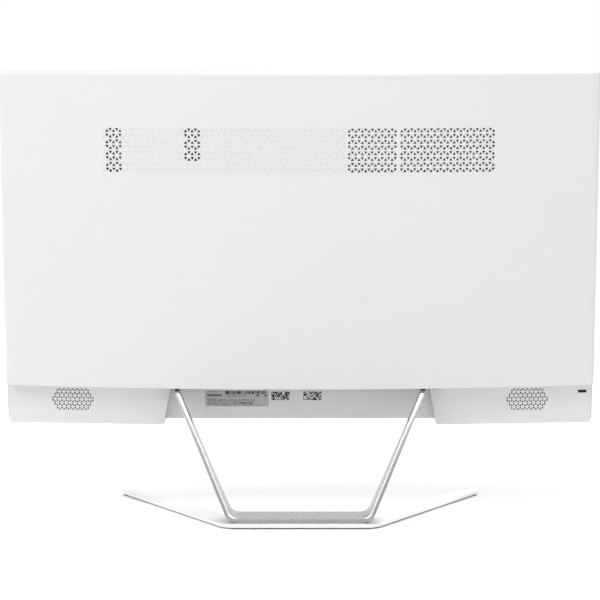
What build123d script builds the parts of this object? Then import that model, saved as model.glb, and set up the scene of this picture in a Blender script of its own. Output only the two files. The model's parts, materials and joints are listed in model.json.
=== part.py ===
from build123d import *
import os
from math import cos, radians, sin, sqrt

# All-in-one desktop computer: a slim crowned display housing that tilts on a bent strap stand.
# Millimetres, +Z up, the screen faces -Y. The origin is under the middle of the stand, on the table.
# Inside the display, places are given on BACK: x to the right and y up as seen from behind, z rearward.

os.makedirs("parts", exist_ok=True)

# ---------------------------------------------------------------- driving dimensions
REST_TILT = 6.0            # display leans back from vertical
DISPLAY_FOOT_Y = -11.0     # lower front edge of the display
DISPLAY_FOOT_Z = 84.0

DISPLAY_WIDTH = 542.4
DISPLAY_HEIGHT = 325.0
CENTRE_DEPTH = 38.0        # crowned back, thickest in the middle
SIDE_DEPTH = 18.0
COVER_WALL = 2.2
COVER_CORNER = 4.0
BEZEL_DEPTH = 6.0
BEZEL_FOOT = 2.7           # bezel starts a little above the lower cover's bottom
SEAM = 0.2                 # gap between neighbouring housings
SIDE_BORDER = 7.7          # black border beside the 23.8-inch picture area
TOP_BORDER = 7.7
BOTTOM_BORDER = 20.8

LEDGE_RISE = 37.0          # underside of the back cover's overhang
LEDGE_FLOOR = 2.0
CHIN_INSET = 1.5           # lower cover is narrower than the back cover on each side
CHIN_CENTRE = 21.5
CHIN_SIDE = 9.6
CHIN_WALL = 1.8
NOTCH_GAP = 4.5            # recess wall beside the middle of each stand leg, at its top
NOTCH_FLARE = 8.0          # how much further out the recess wall is at its foot
NOTCH_DRAFT = 3.5          # how much wider the recess is at the outer face
RECESS_FACE = 9.5
RECESS_WALL = 1.5
RECESS_FOOT = 3.6

VENT_CELL = 5.92           # side of one cell of the triangle lattice
VENT_HOLE = 3.1            # side of the triangular hole in each cell
VENT_DROP = 48.4           # top row of holes below the top of the display
GRILLE_CELL = 4.1
GRILLE_HOLE = 2.1
GRILLE_INSET = 61.0        # middle of a speaker grille from the side of the display
GRILLE_RISE = 22.8

PLATE = 3.0                # base plate
PAD = 1.5
STRAP = 4.0                # upright strap thickness
BASE_REAR = 102.5
HEEL_RADIUS = 16.5
HEEL_X = 57.5
TOE_RADIUS = 6.6
TOE_X = 165.8
TOE_Y = -95.9
INNER_CORNER = 12.0
BAR_FRONT = 57.0
BAR_REAR = 95.0
LEG_FOOT_X = 62.5          # corner of the strap's centre line
LEG_TOP_X = 113.0          # plane of the strap's upper eyes
LEG_BEND_Z = 113.5
LEG_BEND = 12.0

HINGE_DEPTH = 17.5         # hinge axis behind the screen face
HINGE_RISE = 42.0
EYE_RADIUS = 5.5
PIN_RADIUS = 3.0
RUNNING = 0.05             # radial running clearance
SIDE_GAP = 0.3             # axial clearance beside turning pieces
EAR = 3.0
WASHER = 3.7
HEAD = 4.0
HEAD_RADIUS = 4.9

PANEL_LIP = 1.2
CELL_GLASS = 1.4
GUIDE = 2.4
TRAY = 0.8
CHASSIS = 1.0
PANEL_MARGIN = 2.4         # panel hidden behind the bezel lip on each side
PANEL_CLEARANCE = 0.5

BOARD_DEPTH = 12.0
BOARD = 1.6
BOARD_WIDTH = 188.0
BOARD_HEIGHT = 176.0
BOARD_FOOT = 42.0

FAN_X = 140.0
FAN_DROP = 135.0           # fan's middle below the top of the display
FAN_CASE_HALF = 40.0
FAN_DEPTH = 11.0
FAN_THICK = 13.0
FAN_WALL = 1.0
ROTOR_RADIUS = 31.0
HUB_RADIUS = 12.0

BUTTON_INSET = 36.2        # under the right-hand end for a person facing the screen
BUTTON_DEPTH = 8.0
BUTTON_LENGTH = 12.0
BUTTON_WIDTH = 2.4
BUTTON_TRAVEL = 0.8

# ---------------------------------------------------------------- frames and derived places
tilt = radians(REST_TILT)
foot = Vector(0, DISPLAY_FOOT_Y, DISPLAY_FOOT_Z)
up = Vector(0, sin(tilt), cos(tilt))
rearward = Vector(0, cos(tilt), -sin(tilt))
rear_axis = Axis(foot, rearward)
up_axis = Axis(foot, up)
BACK = Plane(origin=foot, x_dir=(-1, 0, 0), z_dir=rearward)

half_width = DISPLAY_WIDTH / 2
chin_half = half_width - CHIN_INSET
crown_radius = (half_width**2 + (CENTRE_DEPTH - SIDE_DEPTH) ** 2) / (2 * (CENTRE_DEPTH - SIDE_DEPTH))
notch_top_half = LEG_TOP_X + NOTCH_GAP
notch_foot_half = notch_top_half + NOTCH_FLARE
plate_top = PAD + PLATE
hinge = foot + up * HINGE_RISE + rearward * HINGE_DEPTH
panel_face = PANEL_LIP
guide_face = panel_face + CELL_GLASS
tray_face = guide_face + GUIDE
chassis_face = tray_face + TRAY + 0.8
chassis_rear = chassis_face + CHASSIS
board_rear = BOARD_DEPTH + BOARD
view_width = DISPLAY_WIDTH - 2 * SIDE_BORDER
view_height = DISPLAY_HEIGHT - TOP_BORDER - BOTTOM_BORDER
view_mid = BOTTOM_BORDER + view_height / 2
panel_width = view_width + 2 * PANEL_MARGIN
panel_height = view_height + 2 * PANEL_MARGIN
vent_top = DISPLAY_HEIGHT - VENT_DROP
grille_x = half_width - GRILLE_INSET
button_x = half_width - BUTTON_INSET
fan_rise = DISPLAY_HEIGHT - FAN_DROP
heel_y = BASE_REAR - HEEL_RADIUS


def back(depth):
    """Plane parallel to the screen, at a depth behind it."""
    return BACK.offset(depth)


def level(rise):
    """Cross-section plane of the display at a height along it: x is world +X, y is rearward."""
    return Plane(origin=foot + up * rise, x_dir=(1, 0, 0), z_dir=up)


def across(x):
    """Side plane of the display: x is rearward depth, y is rise, z is world +X."""
    return Plane(origin=foot + Vector(x, 0, 0), x_dir=rearward, z_dir=(1, 0, 0))


def skin_depth(x):
    """Depth of the crowned outer back at a distance x from the middle."""
    return CENTRE_DEPTH - crown_radius + sqrt(crown_radius**2 - x**2)


def crowned_block(half, side, centre, front, low, high):
    """Solid with a flat front and a crowned back, between two heights."""
    with BuildPart() as block:
        with BuildSketch(level(low)):
            with BuildLine():
                Polyline((half, side), (half, front), (-half, front), (-half, side))
                ThreePointArc((-half, side), (0, centre), (half, side))
            make_face()
        extrude(amount=high - low)
    return block.part


def back_box(x, rise, depth, width, height, thickness):
    """Box standing on a plane behind the screen, centred at x and rise."""
    with BuildPart() as block:
        with BuildSketch(back(depth)):
            with Locations((x, rise)):
                Rectangle(width, height)
        extrude(amount=thickness)
    return block.part


def triangle_cells(centre_x, top, columns, rows, cell, keep=lambda column, row: True):
    """Centres of a lattice of up and down triangles, as (x, y, points up)."""
    row_height = cell * sqrt(3) / 2
    cells = []
    for row in range(rows):
        low = top - (row + 1) * row_height
        for column in range(columns):
            points_up = (column + row) % 2 == 0
            x = centre_x + (column - (columns - 1) / 2) * cell / 2
            y = low + row_height * (1 / 3 if points_up else 2 / 3)
            if keep(column, row):
                cells.append((x, y, points_up))
    return cells


def triangle_cutters(cells, side, depth, length):
    """Prisms that cut the triangular holes."""
    with BuildPart() as cutters:
        with BuildSketch(back(depth)):
            for pointing_up in (True, False):
                spots = [(x, y) for x, y, points_up in cells if points_up == pointing_up]
                with Locations(*spots):
                    RegularPolygon(side / sqrt(3), 3, rotation=90 if pointing_up else -90)
        extrude(amount=length)
    return cutters.part


# ---------------------------------------------------------------- stand: base plate, pads, strap
SCREW_SPOTS = [(x, (BAR_FRONT + BAR_REAR) / 2) for x in (-45, -15, 15, 45)]
TOE_PAD = 5.2
HEEL_PAD = 9.0
SOLE_X = (HEEL_X + TOE_X) / 2
SOLE_Y = (heel_y + TOE_Y) / 2

with BuildPart() as base_plate:
    for side in (-1, 1):
        with BuildSketch(Plane.XY.offset(PAD)):
            with Locations((side * HEEL_X, heel_y)):
                Circle(HEEL_RADIUS)
            with Locations((side * TOE_X, TOE_Y)):
                Circle(TOE_RADIUS)
            make_hull()
        extrude(amount=PLATE)
    with BuildSketch(Plane.XY.offset(PAD)):
        with Locations((0, (BAR_FRONT + BASE_REAR) / 2)):
            Rectangle(2 * HEEL_X, BASE_REAR - BAR_FRONT)
    extrude(amount=PLATE)
    uprights = base_plate.edges().filter_by(Axis.Z)
    throat = uprights.filter_by(lambda edge: abs(edge.center().Y - BAR_FRONT) < HEEL_RADIUS)
    fillet(throat, radius=INNER_CORNER)
    fillet(base_plate.faces().sort_by(Axis.Z)[-1].edges(), radius=0.8)
    with BuildSketch(Plane.XY.offset(PAD)):
        with Locations(*SCREW_SPOTS):
            Circle(4.2)
    extrude(amount=PLATE, taper=35, mode=Mode.SUBTRACT)
base_plate.part.label = "base_plate"
export_step(base_plate.part, "parts/base_plate.step")

with BuildPart() as base_pads:
    with BuildSketch(Plane.XY):
        for side in (-1, 1):
            with Locations((side * TOE_X, TOE_Y)):
                Circle(TOE_PAD)
            with Locations((side * HEEL_X, heel_y)):
                Circle(HEEL_PAD)
            with Locations((side * SOLE_X, SOLE_Y)):
                Circle(TOE_PAD)
    extrude(amount=PAD)
base_pads.part.label = "base_pads"
export_step(base_pads.part, "parts/base_pads.step")

with BuildPart() as upright_strap:
    with BuildSketch(Plane.XZ):
        with BuildLine():
            FilletPolyline(
                (-LEG_TOP_X, hinge.Z + EYE_RADIUS + 1),
                (-LEG_TOP_X, LEG_BEND_Z),
                (-LEG_FOOT_X, plate_top + STRAP / 2),
                (LEG_FOOT_X, plate_top + STRAP / 2),
                (LEG_TOP_X, LEG_BEND_Z),
                (LEG_TOP_X, hinge.Z + EYE_RADIUS + 1),
                radius=LEG_BEND,
            )
        trace(line_width=STRAP)
    extrude(amount=2 * BASE_REAR, both=True)
    with BuildSketch(Plane.YZ):
        with Locations((hinge.Y, hinge.Z)):
            Circle(EYE_RADIUS)
        with Locations(((BAR_FRONT + BAR_REAR) / 2, plate_top + STRAP / 2)):
            Rectangle(BAR_REAR - BAR_FRONT, STRAP)
        make_hull()
    extrude(amount=DISPLAY_WIDTH, both=True, mode=Mode.INTERSECT)
    with BuildSketch(Plane.YZ):
        with Locations((hinge.Y, hinge.Z)):
            Circle(PIN_RADIUS)
    extrude(amount=DISPLAY_WIDTH, both=True, mode=Mode.SUBTRACT)
    with BuildSketch(Plane.XY.offset(plate_top)):
        with Locations(*SCREW_SPOTS):
            Circle(1.7)
    extrude(amount=3.0, mode=Mode.SUBTRACT)
upright_strap.part.label = "upright_strap"
export_step(upright_strap.part, "parts/upright_strap.step")

with BuildPart() as base_screws:
    with BuildSketch(Plane.XY.offset(PAD)):
        with Locations(*SCREW_SPOTS):
            Circle(4.0)
    extrude(amount=PLATE - 0.2, taper=35)
    with BuildSketch(Plane.XY.offset(PAD)):
        with Locations(*SCREW_SPOTS):
            Circle(1.65)
    extrude(amount=PLATE + 2.8)
    with BuildSketch(Plane.XY.offset(PAD)):
        with Locations(*SCREW_SPOTS):
            RegularPolygon(1.3, 6)
    extrude(amount=1.4, mode=Mode.SUBTRACT)
base_screws.part.label = "base_screws"
export_step(base_screws.part, "parts/base_screws.step")

# ---------------------------------------------------------------- tilt hinge
eye_inner = LEG_TOP_X - STRAP / 2
eye_outer = LEG_TOP_X + STRAP / 2
ear_inner = eye_inner - WASHER - SIDE_GAP
ear_outer = eye_outer + WASHER + SIDE_GAP
EAR_RADIUS = 5.0
FLANGE = 2.0
FLANGE_TOP = 74.0


def hinge_disc(x, radius, thickness, bore=0.0):
    """Disc on the hinge axis from x outward along world +X, at the matching place on both sides."""
    with BuildPart() as disc:
        for low in (x, -x - thickness):
            with BuildSketch(Plane.YZ.offset(low)):
                with Locations((hinge.Y, hinge.Z)):
                    Circle(radius)
                    if bore:
                        Circle(bore, mode=Mode.SUBTRACT)
            extrude(amount=thickness)
    return disc.part


pin_inner = ear_inner - EAR - SIDE_GAP - HEAD
pin_outer = ear_outer + EAR + SIDE_GAP + HEAD
with BuildPart() as hinge_pins:
    add(hinge_disc(pin_inner + HEAD - 0.5, PIN_RADIUS, pin_outer - pin_inner - HEAD + 0.5))
    add(hinge_disc(pin_inner, HEAD_RADIUS, HEAD))
hinge_pins.part.label = "hinge_pins"
export_step(hinge_pins.part, "parts/hinge_pins.step")

with BuildPart() as hinge_nuts:
    for low in (pin_outer - HEAD, -pin_outer):
        with BuildSketch(Plane.YZ.offset(low)):
            with Locations((hinge.Y, hinge.Z)):
                RegularPolygon(HEAD_RADIUS, 6)
                Circle(PIN_RADIUS, mode=Mode.SUBTRACT)
        extrude(amount=HEAD)
hinge_nuts.part.label = "hinge_nuts"
export_step(hinge_nuts.part, "parts/hinge_nuts.step")

with BuildPart() as friction_washers:
    add(hinge_disc(eye_inner - WASHER, HEAD_RADIUS, WASHER, bore=PIN_RADIUS))
    add(hinge_disc(eye_outer, HEAD_RADIUS, WASHER, bore=PIN_RADIUS))
friction_washers.part.label = "friction_washers"
export_step(friction_washers.part, "parts/friction_washers.step")

bracket_mid = (ear_inner - EAR + ear_outer + EAR) / 2
bracket_width = ear_outer - ear_inner + 2 * EAR + 16
BRACKET_SCREWS = [(dx, FLANGE_TOP - 8) for dx in (-12, 12)]
for name, side in (("hinge_bracket_left", -1), ("hinge_bracket_right", 1)):
    with BuildPart() as hinge_bracket:
        add(back_box(side * bracket_mid, (HINGE_RISE + FLANGE_TOP) / 2, chassis_rear,
                     bracket_width, FLANGE_TOP - HINGE_RISE, FLANGE))
        for low in (ear_inner - EAR, ear_outer):
            x = -side * low
            with BuildSketch(across(x)):
                with Locations((HINGE_DEPTH, HINGE_RISE)):
                    Circle(EAR_RADIUS)
                with Locations((chassis_rear + FLANGE / 2, HINGE_RISE + 12)):
                    Rectangle(FLANGE, 22)
                make_hull()
            extrude(amount=-side * EAR)
        with BuildSketch(across(0)):
            with Locations((HINGE_DEPTH, HINGE_RISE)):
                Circle(PIN_RADIUS + RUNNING)
        extrude(amount=-side * half_width, mode=Mode.SUBTRACT)
        with BuildSketch(back(chassis_rear)):
            with Locations(*[(side * bracket_mid + dx, rise) for dx, rise in BRACKET_SCREWS]):
                Circle(1.7)
        extrude(amount=FLANGE, mode=Mode.SUBTRACT)
    hinge_bracket.part.label = name
    export_step(hinge_bracket.part, f"parts/{name}.step")

with BuildPart() as hinge_bracket_screws:
    for side in (-1, 1):
        spots = [(side * bracket_mid + dx, rise) for dx, rise in BRACKET_SCREWS]
        with BuildSketch(back(chassis_face + SEAM)):
            with Locations(*spots):
                Circle(1.65)
        extrude(amount=CHASSIS + FLANGE)
        with BuildSketch(back(chassis_rear + FLANGE)):
            with Locations(*spots):
                Circle(3.0)
                RegularPolygon(1.2, 6, mode=Mode.SUBTRACT)
        extrude(amount=1.8)
hinge_bracket_screws.part.label = "hinge_bracket_screws"
export_step(hinge_bracket_screws.part, "parts/hinge_bracket_screws.step")

# ---------------------------------------------------------------- screen: bezel, panel, chassis
CAMERA_RISE = DISPLAY_HEIGHT - 3.2
CAMERA_LENS = 1.5
CAMERA_BOARD = (28.0, 3.4)
CAMERA_SEAT = 4.0          # depth of the camera board's front face

with BuildPart() as front_bezel:
    add(back_box(0, (BEZEL_FOOT + DISPLAY_HEIGHT) / 2, 0,
                 DISPLAY_WIDTH, DISPLAY_HEIGHT - BEZEL_FOOT, BEZEL_DEPTH))
    add(back_box(0, view_mid, 0, view_width, view_height, BEZEL_DEPTH), mode=Mode.SUBTRACT)
    add(back_box(0, view_mid, PANEL_LIP, panel_width + 2 * PANEL_CLEARANCE,
                 panel_height + 2 * PANEL_CLEARANCE, BEZEL_DEPTH), mode=Mode.SUBTRACT)
    fillet(front_bezel.edges().filter_by(rear_axis), radius=2.5)
    with BuildSketch(back(0)):
        with Locations((0, CAMERA_RISE)):
            Circle(CAMERA_LENS)
    extrude(amount=BEZEL_DEPTH, mode=Mode.SUBTRACT)
    add(back_box(0, CAMERA_RISE, CAMERA_SEAT, CAMERA_BOARD[0] + 1, CAMERA_BOARD[1] + 0.4,
                 BEZEL_DEPTH), mode=Mode.SUBTRACT)
front_bezel.part.label = "front_bezel"
export_step(front_bezel.part, "parts/front_bezel.step")

with BuildPart() as lcd_cell:
    add(back_box(0, view_mid, panel_face, panel_width, panel_height, CELL_GLASS))
lcd_cell.part.label = "lcd_cell"
export_step(lcd_cell.part, "parts/lcd_cell.step")

LED_STRIP = 3.0
with BuildPart() as light_guide:
    add(back_box(0, view_mid + LED_STRIP / 2, guide_face, panel_width, panel_height - LED_STRIP, GUIDE))
light_guide.part.label = "light_guide"
export_step(light_guide.part, "parts/light_guide.step")

strip_mid = view_mid - panel_height / 2 + LED_STRIP / 2
with BuildPart() as led_strip:
    add(back_box(0, strip_mid, guide_face, panel_width, LED_STRIP - 0.4, GUIDE))
led_strip.part.label = "led_strip"
export_step(led_strip.part, "parts/led_strip.step")

with BuildPart() as panel_tray:
    add(back_box(0, view_mid, tray_face, panel_width, panel_height, TRAY))
    with BuildSketch(back(tray_face + TRAY)):
        with Locations((0, view_mid)):
            with GridLocations(0.1, 66.0, 1, 4):
                SlotOverall(panel_width - 60, 9)
    extrude(amount=chassis_face - tray_face - TRAY)
panel_tray.part.label = "panel_tray"
export_step(panel_tray.part, "parts/panel_tray.step")

CHASSIS_FOOT = LEDGE_RISE + LEDGE_FLOOR + SEAM
CHASSIS_TOP = DISPLAY_HEIGHT - 4.0
CHASSIS_SLOTS = 6
chassis_half = half_width - COVER_WALL - 0.8
slot_pitch = 2 * chassis_half / (CHASSIS_SLOTS + 0.4)
STANDOFFS = [(x, rise) for x in (-84, 0, 84) for rise in (BOARD_FOOT + 14, BOARD_FOOT + BOARD_HEIGHT - 8)]
with BuildPart() as chassis_plate:
    add(back_box(0, (CHASSIS_FOOT + CHASSIS_TOP) / 2, chassis_face,
                 2 * chassis_half, CHASSIS_TOP - CHASSIS_FOOT, CHASSIS))
    with BuildSketch(back(chassis_face)):
        with Locations((0, vent_top)):
            with GridLocations(slot_pitch, 0.1, CHASSIS_SLOTS, 1):
                SlotOverall(0.7 * slot_pitch, 16)
    extrude(amount=CHASSIS, mode=Mode.SUBTRACT)
    for side in (-1, 1):
        add(back_box(side * (chassis_half - 1.0), (CHASSIS_FOOT + CHASSIS_TOP) / 2, BEZEL_DEPTH,
                     2.0, CHASSIS_TOP - CHASSIS_FOOT, chassis_face - BEZEL_DEPTH))
        with BuildSketch(back(chassis_face)):
            with Locations(*[(side * bracket_mid + dx, rise) for dx, rise in BRACKET_SCREWS]):
                Circle(1.65)
        extrude(amount=CHASSIS, mode=Mode.SUBTRACT)
chassis_plate.part.label = "chassis_plate"
export_step(chassis_plate.part, "parts/chassis_plate.step")

with BuildPart() as webcam_lens:
    with BuildSketch(back(0.3)):
        with Locations((0, CAMERA_RISE)):
            Circle(CAMERA_LENS - 0.1)
    extrude(amount=CAMERA_SEAT - 0.3)
webcam_lens.part.label = "webcam_lens"
export_step(webcam_lens.part, "parts/webcam_lens.step")

with BuildPart() as webcam_board:
    add(back_box(0, CAMERA_RISE, CAMERA_SEAT, CAMERA_BOARD[0], CAMERA_BOARD[1], 1.0))
    for x in (-8, 8):
        add(back_box(x, CAMERA_RISE, CAMERA_SEAT + 1.0, 3.0, 2.0, 0.8))
webcam_board.part.label = "webcam_board"
export_step(webcam_board.part, "parts/webcam_board.step")

# ---------------------------------------------------------------- housings
GROOVE = 0.5               # shadow gap between the bezel and the covers
cover_front = BEZEL_DEPTH + GROOVE
outer_back = crowned_block(half_width, SIDE_DEPTH, CENTRE_DEPTH, cover_front, LEDGE_RISE, DISPLAY_HEIGHT)
inner_back = crowned_block(half_width - COVER_WALL, SIDE_DEPTH - COVER_WALL, CENTRE_DEPTH - COVER_WALL,
                           BEZEL_DEPTH - 1, LEDGE_RISE + LEDGE_FLOOR, DISPLAY_HEIGHT - COVER_WALL)
VENTS = [
    triangle_cells(middle, vent_top, columns, rows, VENT_CELL)
    for middle, columns, rows in ((64.9, 15, 8), (132.8, 29, 8), (-167.8, 5, 8), (-96.8, 5, 6))
]
SLOT_LOW_X = pin_inner - 3.0
SLOT_HIGH_X = pin_outer + 3.0
IO_HALF = 92.0
IO_FRONT = 12.5
IO_REAR = 30.5
HINGE_LIP = 1.2
with BuildPart() as back_cover:
    add(outer_back)
    rims = back_cover.edges().filter_by(up_axis)
    corners = rims.filter_by(lambda edge: (edge.center() - foot).dot(rearward) > SIDE_DEPTH - 5)
    fillet(corners, radius=COVER_CORNER)
    crown = back_cover.edges().filter_by(lambda edge: (edge.center() - foot).dot(up) > DISPLAY_HEIGHT - 1
                                         and (edge.center() - foot).dot(rearward) > SIDE_DEPTH - 5)
    fillet(crown, radius=2.2)
    add(back_box(0, (LEDGE_RISE + DISPLAY_HEIGHT - GROOVE) / 2, BEZEL_DEPTH, DISPLAY_WIDTH - 2 * GROOVE,
                 DISPLAY_HEIGHT - GROOVE - LEDGE_RISE, GROOVE))
    add(inner_back, mode=Mode.SUBTRACT)
    for side in (-1, 1):
        slot_mid = side * (SLOT_LOW_X + SLOT_HIGH_X) / 2
        slot_rear = skin_depth(SLOT_HIGH_X) - HINGE_LIP
        add(back_box(slot_mid, LEDGE_RISE + LEDGE_FLOOR / 2, RECESS_FACE, SLOT_HIGH_X - SLOT_LOW_X,
                     2 * LEDGE_FLOOR, slot_rear - RECESS_FACE), mode=Mode.SUBTRACT)
    add(back_box(0, LEDGE_RISE, IO_FRONT, 2 * IO_HALF, 4 * LEDGE_FLOOR, IO_REAR - IO_FRONT),
        mode=Mode.SUBTRACT)
    for cells in VENTS:
        add(triangle_cutters(cells, VENT_HOLE, SIDE_DEPTH + 4, CENTRE_DEPTH), mode=Mode.SUBTRACT)
back_cover.part.label = "back_cover"
export_step(back_cover.part, "parts/back_cover.step")

chin_top = LEDGE_RISE - SEAM


def notch_wedge(front, rear):
    """Recess between the legs: a trapezoid that opens downward and rearward."""
    with BuildPart() as wedge:
        for depth, spread in ((front, 0), (rear, NOTCH_DRAFT)):
            top = notch_top_half + spread
            bottom = notch_foot_half + spread
            with BuildSketch(back(depth)):
                Polygon((-top, chin_top), (top, chin_top), (bottom, -1), (-bottom, -1), align=None)
        loft()
    return wedge.part


GRILLE_COLUMNS = 19
GRILLE_ROWS = 6


def hexagon_keep(column, row):
    """Trim a block of triangles to a hexagon: each row is two columns shorter than the one below it."""
    middle_column = (GRILLE_COLUMNS - 1) / 2
    middle_row = (GRILLE_ROWS - 1) / 2
    return abs(column - middle_column) <= middle_column - max(0, abs(row - middle_row) - 0.5)


GRILLE_CELLS = [
    triangle_cells(side * grille_x, GRILLE_RISE + GRILLE_ROWS * GRILLE_CELL * sqrt(3) / 4,
                   GRILLE_COLUMNS, GRILLE_ROWS, GRILLE_CELL, hexagon_keep)
    for side in (-1, 1)
]
LOCK_X = half_width - 9.7
LOCK_RISE = 29.5
LOCK_LENGTH = 8.0
LOCK_WIDTH = 2.8
cavity_inner = notch_foot_half + NOTCH_DRAFT + CHIN_WALL
outer_chin = crowned_block(chin_half, CHIN_SIDE, CHIN_CENTRE, cover_front, 0, chin_top)
hollow = crowned_block(chin_half - CHIN_WALL, CHIN_SIDE - CHIN_WALL, CHIN_CENTRE - CHIN_WALL,
                       BEZEL_DEPTH - 1, CHIN_WALL, LEDGE_RISE)
with BuildPart() as chin_hollow:
    add(hollow)
    add(back_box(0, LEDGE_RISE / 2, 0, 2 * cavity_inner, 2 * LEDGE_RISE, CENTRE_DEPTH), mode=Mode.SUBTRACT)
with BuildPart() as lower_cover:
    add(outer_chin)
    fillet(lower_cover.edges().filter_by(rear_axis).group_by(Axis.Z)[0], radius=2.4)
    add(back_box(0, (BEZEL_FOOT + GROOVE + chin_top) / 2, BEZEL_DEPTH, 2 * (chin_half - GROOVE),
                 chin_top - BEZEL_FOOT - GROOVE, GROOVE))
    add(notch_wedge(RECESS_FACE, CENTRE_DEPTH), mode=Mode.SUBTRACT)
    add(chin_hollow.part, mode=Mode.SUBTRACT)
    add(back_box(0, RECESS_FOOT / 2 - 2, BEZEL_DEPTH - 1, 2 * notch_foot_half, RECESS_FOOT + 4,
                 RECESS_FACE), mode=Mode.SUBTRACT)
    add(back_box(0, (RECESS_FOOT + CHIN_WALL + LEDGE_RISE) / 2, BEZEL_DEPTH - 1, 2 * notch_top_half,
                 LEDGE_RISE - RECESS_FOOT - CHIN_WALL, RECESS_FACE - RECESS_WALL - BEZEL_DEPTH + 1),
        mode=Mode.SUBTRACT)
    for cells in GRILLE_CELLS:
        add(triangle_cutters(cells, GRILLE_HOLE, BEZEL_DEPTH + 1, CENTRE_DEPTH), mode=Mode.SUBTRACT)
    with BuildSketch(back(BEZEL_DEPTH + 1)):
        with Locations((LOCK_X, LOCK_RISE)):
            RectangleRounded(LOCK_LENGTH, LOCK_WIDTH, 0.8)
    extrude(amount=CENTRE_DEPTH, mode=Mode.SUBTRACT)
    with BuildSketch(level(-1)):
        with Locations((button_x, BUTTON_DEPTH)):
            SlotOverall(BUTTON_LENGTH + 0.6, BUTTON_WIDTH + 0.6)
    extrude(amount=CHIN_WALL + 2, mode=Mode.SUBTRACT)
lower_cover.part.label = "lower_cover"
export_step(lower_cover.part, "parts/lower_cover.step")

# ---------------------------------------------------------------- ports and labels under the overhang
IO_FLOOR = 1.2
PORT_MOUTH = LEDGE_RISE - 0.4
PORT_TOP = BOARD_FOOT + 8.0
PORT_WALL = 0.6
LAN = (16.0, 13.2, 11.8, 8.6)          # outer width and height, inner width and height
VIDEO = (15.4, 6.0, 14.2, 4.8)
USB = (14.0, 6.6, 12.8, 5.4)
POWER = (10.0, 10.0)
JACK = (7.0, 7.0)
LAN_X, VIDEO_X, POWER_X, JACK_X = -56.0, -34.0, -80.0, 72.0
USB_X = (-12.0, 8.0, 28.0, 48.0)
HEADSET_RADIUS = 1.75
POWER_RADIUS = 2.75
TONGUE = 1.8


def port_spots(size):
    """Depth of a port's middle when it sits on the board's rear face."""
    return board_rear + size[1] / 2


with BuildPart() as io_panel:
    with BuildSketch(level(LEDGE_RISE)):
        with Locations((0, (IO_FRONT + IO_REAR) / 2)):
            Rectangle(2 * IO_HALF - 0.4, IO_REAR - IO_FRONT - 0.4)
        for x, size in [(LAN_X, LAN), (VIDEO_X, VIDEO)] + [(x, USB) for x in USB_X]:
            with Locations((-x, port_spots(size))):
                Rectangle(size[0] + 0.4, size[1] + 0.4, mode=Mode.SUBTRACT)
        with Locations((-POWER_X, port_spots(POWER))):
            Rectangle(POWER[0] + 0.4, POWER[1] + 0.4, mode=Mode.SUBTRACT)
        with Locations((-JACK_X, port_spots(JACK))):
            Rectangle(JACK[0] + 0.4, JACK[1] + 0.4, mode=Mode.SUBTRACT)
    extrude(amount=IO_FLOOR)
io_panel.part.label = "io_panel"
export_step(io_panel.part, "parts/io_panel.step")


def receptacle(spots, size, tongue):
    """Open-mouthed metal receptacles facing down, each with a contact tongue."""
    width, height, inner_width, inner_height = size
    middle = port_spots(size)
    with BuildPart() as shell:
        with BuildSketch(level(PORT_MOUTH)):
            with Locations(*[(-x, middle) for x in spots]):
                Rectangle(width, height)
        extrude(amount=PORT_TOP - PORT_MOUTH)
        with BuildSketch(level(PORT_MOUTH)):
            with Locations(*[(-x, middle) for x in spots]):
                Rectangle(inner_width, inner_height)
        extrude(amount=PORT_TOP - PORT_MOUTH - 1.5, mode=Mode.SUBTRACT)
        if tongue:
            with BuildSketch(level(PORT_MOUTH + 1.5)):
                with Locations(*[(-x, middle - 0.4) for x in spots]):
                    Rectangle(inner_width - 2.6, tongue)
            extrude(amount=PORT_TOP - PORT_MOUTH - 2)
    return shell.part


with BuildPart() as lan_port:
    add(receptacle([LAN_X], LAN, 0))
lan_port.part.label = "lan_port"
export_step(lan_port.part, "parts/lan_port.step")

with BuildPart() as video_port:
    add(receptacle([VIDEO_X], VIDEO, TONGUE))
video_port.part.label = "video_port"
export_step(video_port.part, "parts/video_port.step")

with BuildPart() as usb_ports:
    add(receptacle(USB_X, USB, TONGUE))
usb_ports.part.label = "usb_ports"
export_step(usb_ports.part, "parts/usb_ports.step")


def round_port(x, size, radius):
    """Square body with a round blind socket facing down."""
    with BuildPart() as body:
        with BuildSketch(level(PORT_MOUTH)):
            with Locations((-x, port_spots(size))):
                Rectangle(*size)
        extrude(amount=PORT_TOP - PORT_MOUTH)
        with BuildSketch(level(PORT_MOUTH)):
            with Locations((-x, port_spots(size))):
                Circle(radius)
        extrude(amount=PORT_TOP - PORT_MOUTH - 1.4, mode=Mode.SUBTRACT)
    return body.part


with BuildPart() as power_inlet:
    add(round_port(POWER_X, POWER, POWER_RADIUS))
    with BuildSketch(level(PORT_MOUTH + 1)):
        with Locations((-POWER_X, port_spots(POWER))):
            Circle(0.5)
    extrude(amount=PORT_TOP - PORT_MOUTH - 2)
power_inlet.part.label = "power_inlet"
export_step(power_inlet.part, "parts/power_inlet.step")

with BuildPart() as headset_jack:
    add(round_port(JACK_X, JACK, HEADSET_RADIUS))
headset_jack.part.label = "headset_jack"
export_step(headset_jack.part, "parts/headset_jack.step")

LABEL_THICK = 0.15
with BuildPart() as rating_label:
    with BuildSketch(back(RECESS_FACE)):
        with Locations((-58.5, 22.4)):
            RectangleRounded(59.0, 15.0, 0.8)
        for x in (-18.0, 11.6):
            with Locations((x, 24.9)):
                Rectangle(18.4, 9.0)
    extrude(amount=LABEL_THICK)
rating_label.part.label = "rating_label"
export_step(rating_label.part, "parts/rating_label.step")

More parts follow.
